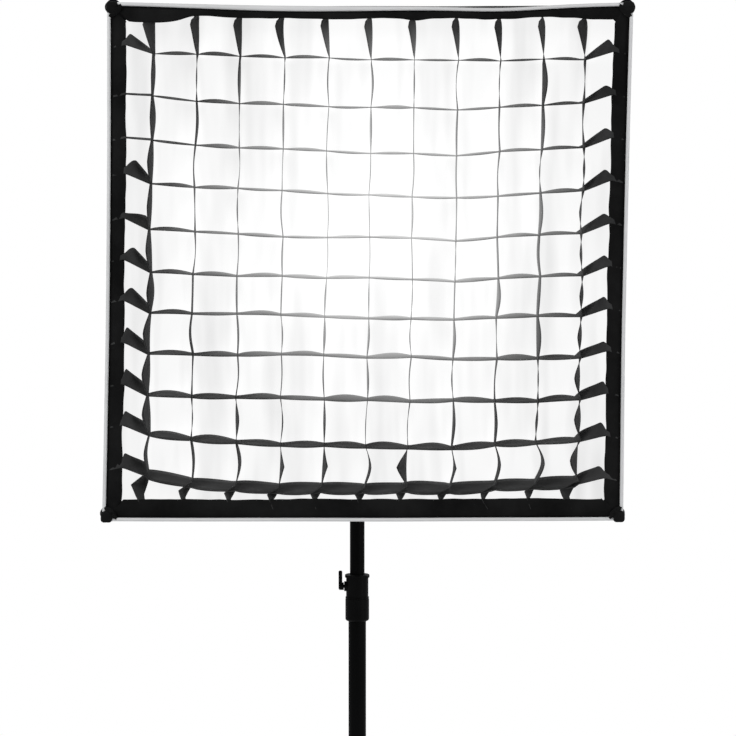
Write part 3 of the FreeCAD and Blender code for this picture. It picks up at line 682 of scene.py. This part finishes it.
def border_ring(t):
    """The border's section at t: up the side wall, over the front, to the rolled inner hem."""
    side, u = loop_place(t)
    into = inward_direction(t)
    sag = into * (edge_slack(side, u) + band_drop(side, u))
    front = GRID_LOW.y
    outer = loop_point(t, GRID_HALF_WIDTH, GRID_HALF_HEIGHT, front) + sag
    wide = band_width(side, u)
    corner = math.exp(-((1 - abs(u)) / 0.035))
    ring = []
    for back in (0.049, 0.036, 0.024, 0.013, 0.006):
        ring.append(outer + Vector((0, back, 0)) + into * 0.0012 * wobble(40, t * 8, back * 60))
    ring.append(outer + Vector((0, 0.0022, 0)))
    ring.append(outer + Vector((0, 0.0006, 0)) + into * 0.0012)
    for share in (0.14, 0.28, 0.42, 0.56, 0.7, 0.84, 0.95):
        fold = 0.0016 * wobble(42, t * 9, share * 2.5) + 0.001 * wobble(43, t * 26, share * 4)
        swell = -0.0028 * math.sin(math.pi * share)
        diagonal = -0.002 * corner * math.sin(share * 9 + u * 4)
        ring.append(outer + into * wide * share + Vector((0, 0.0009 + swell + fold + diagonal, 0)))
    ring.append(outer + into * wide + Vector((0, 0.0022, 0)))
    ring.append(outer + into * (wide - 0.0008) + Vector((0, 0.0042, 0)))
    ring.append(outer + into * (wide - 0.005) + Vector((0, 0.0048, 0)))
    return ring


def grid_frame():
    """The grid's border: side walls inside the lip and a soft front band with a rolled hem."""
    cloth = Cloth()
    cloth.patch([border_ring(4 * i / BAND_SECTIONS) for i in range(BAND_SECTIONS)], closed=True)
    border = cloth.build("grid_frame_cloth", "black_cloth", nodes=["grid_border"])


def corner_nub(across, up):
    """A little domed pocket of cloth over the end of a rod, standing out round the corner of the rim."""
    inset = 0.0060 + 0.0006 * up
    rows = []
    for share, back in NUB_PROFILE:
        row = []
        for k in range(NUB_SIDES + 1):
            turn = 2 * math.pi * k / NUB_SIDES
            square = 1 - 0.1 * math.cos(4 * turn) + 0.03 * wobble(up + 3 * across, turn)
            r = NUB_RADIUS * share * square
            row.append(spot(across * (HALF_WIDTH - inset) + r * math.cos(turn), NUB_Y + back,
                            up * (HALF_HEIGHT - inset) + r * math.sin(turn)))
        row[-1] = row[0]
        rows.append(row)
    return rows


def corner_patches():
    """Doubled black cloth over the four front corners, creased along the diagonal, with the domed pockets."""
    cloth = Cloth()
    for across in (-1, 1):
        for up in (-1, 1):
            seed = 50 + across + 3 * up
            rows = []
            for i in range(17):
                turn = math.pi / 2 * i / 16
                crease = math.exp(-((turn - 0.8) / 0.12) ** 2) + 0.7 * math.exp(-((turn - 0.35) / 0.1) ** 2)
                reach = PATCH_REACH * (1 + 0.05 * wobble(seed, turn * 2.5))
                row = []
                for j in range(11):
                    r = reach * j / 10
                    lift = 0.0022 + 0.0024 * crease + 0.0012 * wobble(seed, turn * 3, j * 0.3)
                    settle = 0.004 * smooth_step(j / 10, 0.7, 1.0)
                    start = PATCH_START * (1 - j / 10)
                    side = HALF_WIDTH - start - r * math.cos(turn)
                    rise = HALF_HEIGHT - start - r * math.sin(turn)
                    row.append(spot(across * side, RIM_LOW.y - lift + settle, up * rise))
                rows.append(row)
            cloth.patch(rows)
            cloth.patch(corner_nub(across, up))
    patches = cloth.build("corner_patches", "black_cloth")


# ---------------------------------------------------------------- grid strips

def step_between(places, values, place):
    """The value at a place, on straight lines between known ones."""
    for k in range(1, len(places)):
        if place <= places[k]:
            share = (place - places[k - 1]) / (places[k] - places[k - 1])
            return values[k - 1] + (values[k] - values[k - 1]) * share
    return values[-1]


def crossings():
    """(across, up) where strips cross. Column 0 and 12 and row 0 and 12 are on the border."""
    made = {}
    for i in range(CELLS + 1):
        for j in range(CELLS + 1):
            across = GRID_HALF_WIDTH * (2 * i / CELLS - 1)
            up = GRID_HALF_HEIGHT * (2 * j / CELLS - 1)
            if 0 < i < CELLS and 0 < j < CELLS:
                across += CHANCE.uniform(-0.002, 0.002) - 0.003
                across += 0.0065 * smooth_step(i, 1, 5) - 0.002 * smooth_step(i, 9, 11)
                up += CHANCE.uniform(-0.0018, 0.0018) - step_between(HANG_COLUMNS, ROW_HANG[j - 1], i) / 1000
            made[i, j] = (across, up)
    return made


def life(across, up):
    """How freely the strips bow: least just above the middle, most at the border and along the bottom."""
    away = ((across - 0.02) ** 2 + (up - 0.08) ** 2) / 0.24 ** 2
    return 1 - 0.68 * math.exp(-away)


def ribbon(cloth, front, rear):
    """One strip between its front edge and its rear edge."""
    rows = []
    for a, b in zip(front, rear):
        rows.append([a.lerp(b, k / 4) for k in range(5)])
    cloth.patch(rows)


def bow(s, kink=0.0):
    """A bow from 0 to 1 and back over a cell, with a sharper middle as kink rises."""
    smooth = math.sin(math.pi * s) ** 1.15
    sharp = (1 - abs(2 * s - 1)) ** 1.1
    return smooth * (1 - kink) + sharp * kink


def upright_cell(column, row, s, limp, ends):
    """(front shift, rear shift, front y, rear y) of an upright strip at s up one of its cells."""
    near, far, kink = limp
    front_y, rear_y = ends
    wide = 1.3 if column in (1, CELLS - 1) else 0.9
    if row == CELLS - 1:
        down = 1 - s
        flare = 0.35 + 0.65 * smooth_step(down, 0.16, 0.38)
        if down > 0.38:
            flare = max(0.0, 1 - (down - 0.38) / 0.62) ** 0.85
        return -0.013 * wide * flare, 0.001, front_y, rear_y - 0.03 * flare
    if row == 0:
        down = 1 - s
        shares, lefts, rights = zip(*CURL)
        left = step_between(shares, lefts, down) / 1000
        right = step_between(shares, rights, down) / 1000
        return left * wide, right, front_y - 0.005 * down, rear_y - 0.044 * down ** 0.6
    return near * bow(s, kink), far * bow(s), front_y, rear_y


def upright_strips(cross):
    """Eleven limp upright strips, tight at each crossing and bowed between."""
    cloth = Cloth()
    ends = (STRIP_FRONT, STRIP_HIGH.y)
    for i in range(1, CELLS):
        front = []
        rear = []
        toe = 0.0006 * (2 * i / CELLS - 1) ** 3
        for j in range(CELLS):
            (x0, z0), (x1, z1) = cross[i, j], cross[i, j + 1]
            low = max(0.0, 1 - j / 3)
            free = life((x0 + x1) / 2, (z0 + z1) / 2)
            near = CHANCE.uniform(-0.0042, 0.0042) * free * (1 + 1.2 * low)
            far = CHANCE.uniform(-0.0018, 0.0018) * free
            limp = (near, far, low * CHANCE.uniform(0.3, 1.0))
            if i in (1, CELLS - 1):
                below = (1 - j / CELLS) ** 2
                limp = (-0.003 - (0.0075 if i == 1 else 0.0125) * below, far + 0.0014, 0.3)
            if j == 1:
                near, far = LOW_BOWS[i - 1]
                sharp = abs(near) > 9 and i < CELLS - 1
                limp = (near / 1000, far / 1000, 0.8 if sharp else 0.2)
            sway = CHANCE.uniform(-0.003, 0.003) * free * (1 + 0.8 * low)
            last = j == CELLS - 1
            steps = 2 * STEPS if j == 0 else STEPS
            for n in range(steps + (1 if last else 0)):
                s = n / steps
                fore, aft, y, back = upright_cell(i, j, s, limp, ends)
                x = x0 + (x1 - x0) * s + sway * bow(s)
                z = z0 + (z1 - z0) * s - (0.012 * smooth_step(s, 0.7, 1.0) if last else 0.0)
                if j == 0:
                    z += 0.013 * (1 - s)
                front.append(spot(x + fore + toe, y, z))
                rear.append(spot(x + aft - toe, back, z))
        ribbon(cloth, front, rear)
    strips = cloth.build("upright_strips", "black_cloth", GLOWING_STRIP_CLOTH, thickness=UPRIGHT_THICKNESS,
                         nodes=["grid_upright_strips"])


def border_end(cross_point, attach_up, fold, side, tilt):
    """Front and rear edge of a level strip from its tail on the border's band in to the first crossing."""
    x1, z1 = cross_point
    height = fold[1] / 1000
    peak = fold[2]
    end = fold[3] / 1000
    attach_up += fold[0] / 1000
    hem = GRID_HALF_WIDTH - SIDE_BAND
    tail = GRID_HALF_WIDTH - 0.006
    flat = height < 0.005
    front = []
    rear = []
    for n in range(7):
        s = n / 7
        x = side * (tail + (hem - tail) * s)
        low = attach_up - 0.004 + 0.004 * s
        thick = (0.0015 + 0.0075 * s) if not flat else 0.003
        y = STRIP_FRONT - 0.0052 + 0.001 * s
        front.append(spot(x, y, low))
        rear.append(spot(x, y + 0.0006, low + thick))
    for n in range(19):
        s = n / 18
        x = side * (hem + (abs(x1) - hem) * s)
        low = attach_up + (z1 - tilt - attach_up) * s
        start = 0.003 if flat else min(height, 0.009)
        if s < peak:
            thick = start + (height - start) * math.sin(math.pi / 2 * s / peak) ** 1.3
        else:
            thick = end + (height - end) * (1 - (s - peak) / (1 - peak)) ** 0.9
        inner = smooth_step(s, 0.0, 0.25)
        near = STRIP_FRONT - 0.0042 * (1 - inner)
        far = near + 0.0006 + (STRIP_HIGH.y - STRIP_FRONT - 0.0006) * smooth_step(s, 0.15, 1.0)
        front.append(spot(x, near, low))
        rear.append(spot(x, far, low + thick))
    return front, rear


def level_strips(cross):
    """Eleven limp level strips, bowed upwards between crossings and folded where they meet the border."""
    cloth = Cloth()
    for j in range(1, CELLS):
        tilt = ROW_TILT[j - 1]
        front, rear = border_end(cross[1, j], cross[0, j][1], LEFT_FOLDS[j - 1], -1, tilt * 0.5)
        front.pop()
        rear.pop()
        for i in range(1, CELLS - 1):
            (x0, z0), (x1, z1) = cross[i, j], cross[i + 1, j]
            free = life((x0 + x1) / 2, (z0 + z1) / 2)
            thin = CHANCE.random() < 0.15 + 0.6 * (1 - free)
            upper = CHANCE.uniform(0.0004, 0.0014) if thin else CHANCE.uniform(0.003, 0.006) * free
            lower = upper - 0.0008 if thin else CHANCE.uniform(-0.0006, 0.0018) * free
            lean = CHANCE.uniform(0.75, 1.35)
            least = 0.0
            if j == 1:
                upper = CHANCE.uniform(0.003, 0.006)
                lower = CHANCE.uniform(-0.0025, -0.0005)
                lean = CHANCE.uniform(0.6, 0.9)
                least = 0.62
            for n in range(STEPS):
                s = n / STEPS
                arch = least + (1 - least) * math.sin(math.pi * s ** lean)
                drop = tilt * (0.5 + 0.5 * arch)
                x = x0 + (x1 - x0) * s
                z = z0 + (z1 - z0) * s
                front.append(spot(x, STRIP_FRONT, z - drop + lower * arch))
                rear.append(spot(x, STRIP_HIGH.y, z + upper * arch))
        right = border_end(cross[CELLS - 1, j], cross[CELLS, j][1], RIGHT_FOLDS[j - 1], 1, tilt * 0.5)
        front += right[0][::-1]
        rear += right[1][::-1]
        ribbon(cloth, front, rear)
    strips = cloth.build("level_strips", "black_cloth", GLOWING_STRIP_CLOTH, thickness=LEVEL_THICKNESS,
                         nodes=["grid_level_strips"])


# ---------------------------------------------------------------- diffuser and baffle

def diffuser():
    """The lit front cloth, slack in soft upright folds."""
    cloth = Cloth()
    half_width = HALF_WIDTH - DIFFUSER_INSET
    half_height = HALF_HEIGHT - DIFFUSER_INSET
    y = (DIFFUSER_LOW.y + DIFFUSER_HIGH.y) / 2
    rows = []
    for i in range(DIFFUSER_ROWS + 1):
        up = -1 + 2 * i / DIFFUSER_ROWS
        row = []
        for j in range(DIFFUSER_COLUMNS + 1):
            across = -1 + 2 * j / DIFFUSER_COLUMNS
            hold = (1 - across ** 8) * (1 - up ** 8)
            folds = 0.0022 * wobble(60, across * 9, up * 1.6) + 0.003 * wobble(61, across * 2, up * 2)
            row.append(spot(across * half_width, y + hold * (0.004 + folds), up * half_height))
        rows.append(row)
    cloth.patch(rows)
    sheet = cloth.build("diffuser_cloth", "lit_cloth", nodes=["front_diffuser"])


def baffle():
    """The small white cloth hung inside by its corners."""
    cloth = Cloth()
    middle = (BAFFLE_LOW + BAFFLE_HIGH) / 2
    half = (BAFFLE_HIGH.x - BAFFLE_LOW.x) / 2
    rows = []
    for i in range(BAFFLE_STEPS + 1):
        up = -1 + 2 * i / BAFFLE_STEPS
        row = []
        for j in range(BAFFLE_STEPS + 1):
            across = -1 + 2 * j / BAFFLE_STEPS
            scallop_x = 1 - BAFFLE_SCALLOP * (1 - up * up)
            scallop_z = 1 - BAFFLE_SCALLOP * (1 - across * across)
            ripple = 0.003 * wobble(70, across * 2.2, up * 2.2)
            row.append(middle + Vector((across * half * scallop_x, ripple, up * half * scallop_z)))
        rows.append(row)
    cloth.patch(rows)
    sheet = cloth.build("baffle_cloth", "white_cloth", nodes=["inner_baffle"])


# ---------------------------------------------------------------- stitching

def stitches():
    """Short thread stitches along the shell's lip seam and beside each rod."""
    cloth = Cloth()
    centre = spot(0, 0, 0)
    for side in range(4):
        runs = []
        for v in (0.125, 0.155):
            runs.append([(-0.96 + 1.92 * n / 130, v) for n in range(131)])
        for u in (-0.965, 0.965):
            runs.append([(u, 0.18 + 0.8 * n / 80) for n in range(81)])
        for run in runs:
            for u, v in run:
                start = shell_point(side, u, v)
                along = shell_point(side, min(1.0, u + 0.004), v) - start
                if run[0][0] == run[-1][0]:
                    along = shell_point(side, u, min(1.0, v + 0.004)) - start
                along = along.normalized() * STITCH_LENGTH
                out = Vector((start.x - centre.x, 0, start.z - centre.z))
                out = Vector((0, 0, out.z)) if side in (0, 2) else Vector((out.x, 0, 0))
                lift = out.normalized() * STITCH_LIFT
                thread = [start + lift, start + lift * 1.6 + along * 0.5, start + lift + along]
                cloth.patch(thin_rod(thread, THREAD_RADIUS, 4))
    cloth.build("shell_stitching", "black_cloth", THREAD, thickness=0)


# ---------------------------------------------------------------- floor, light and camera

def studio():
    """A pale round floor, white surroundings and soft lights from the front, side and rear."""
    turns = [math.tau * k / FLOOR_SIDES for k in range(FLOOR_SIDES)]
    rim = [(FLOOR_RADIUS * math.cos(turn), FLOOR_RADIUS * math.sin(turn), 0.0) for turn in turns]
    mesh = bpy.data.meshes.new("studio_floor")
    mesh.from_pydata(rim, [], [tuple(range(FLOOR_SIDES))])
    finish, tree, shader = new_material("pale_floor")
    tree.links.new(between(tree, speckle(tree, 3.0), grey(0.84), grey(0.88)), shader.inputs["Base Color"])
    shader.inputs["Roughness"].default_value = 0.7
    mesh.materials.append(finish)
    floor = bpy.data.objects.new("studio_floor", mesh)
    floor.location.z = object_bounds()[0].z - 0.0005
    bpy.context.scene.collection.objects.link(floor)

    world = bpy.data.worlds.new("white_studio")
    bpy.context.scene.world = world
    world.use_nodes = True
    tree = world.node_tree
    light = tree.nodes["Background"]
    light.inputs["Color"].default_value = (0.95, 0.97, 1.0, 1)
    light.inputs["Strength"].default_value = 0.32
    seen = add(tree, "ShaderNodeBackground", Color=(1, 1, 1, 1), Strength=1.0)
    path = add(tree, "ShaderNodeLightPath")
    choose = add(tree, "ShaderNodeMixShader")
    tree.links.new(path.outputs["Is Camera Ray"], choose.inputs[0])
    tree.links.new(light.outputs["Background"], choose.inputs[1])
    tree.links.new(seen.outputs["Background"], choose.inputs[2])
    tree.links.new(choose.outputs["Shader"], tree.nodes["World Output"].inputs["Surface"])

    for name, place, size, power in LIGHTS:
        data = bpy.data.lights.new(name, "AREA")
        data.size = size
        data.energy = power
        lamp = bpy.data.objects.new(name, data)
        lamp.location = place
        lamp.rotation_euler = (LIGHT_AIM - Vector(place)).to_track_quat("-Z", "Y").to_euler()
        bpy.context.scene.collection.objects.link(lamp)


def camera():
    """Five metres in front, a little above the softbox's middle, aimed between it and the collar below."""
    data = bpy.data.cameras.new("camera")
    data.lens = CAMERA_LENS
    data.sensor_width = 36.0
    data.clip_end = 100.0
    eye = bpy.data.objects.new("camera", data)
    eye.location = CAMERA_PLACE
    eye.rotation_euler = (CAMERA_AIM - eye.location).to_track_quat("-Z", "Y").to_euler()
    bpy.context.scene.collection.objects.link(eye)
    bpy.context.scene.camera = eye
    bpy.context.scene.view_settings.view_transform = "Standard"


shell_panels()
shell_seams()
rear_flap()
rim_tape()
grid_frame()
corner_patches()
CROSSINGS = crossings()
upright_strips(CROSSINGS)
level_strips(CROSSINGS)
diffuser()
baffle()
stitches()
studio()
camera()
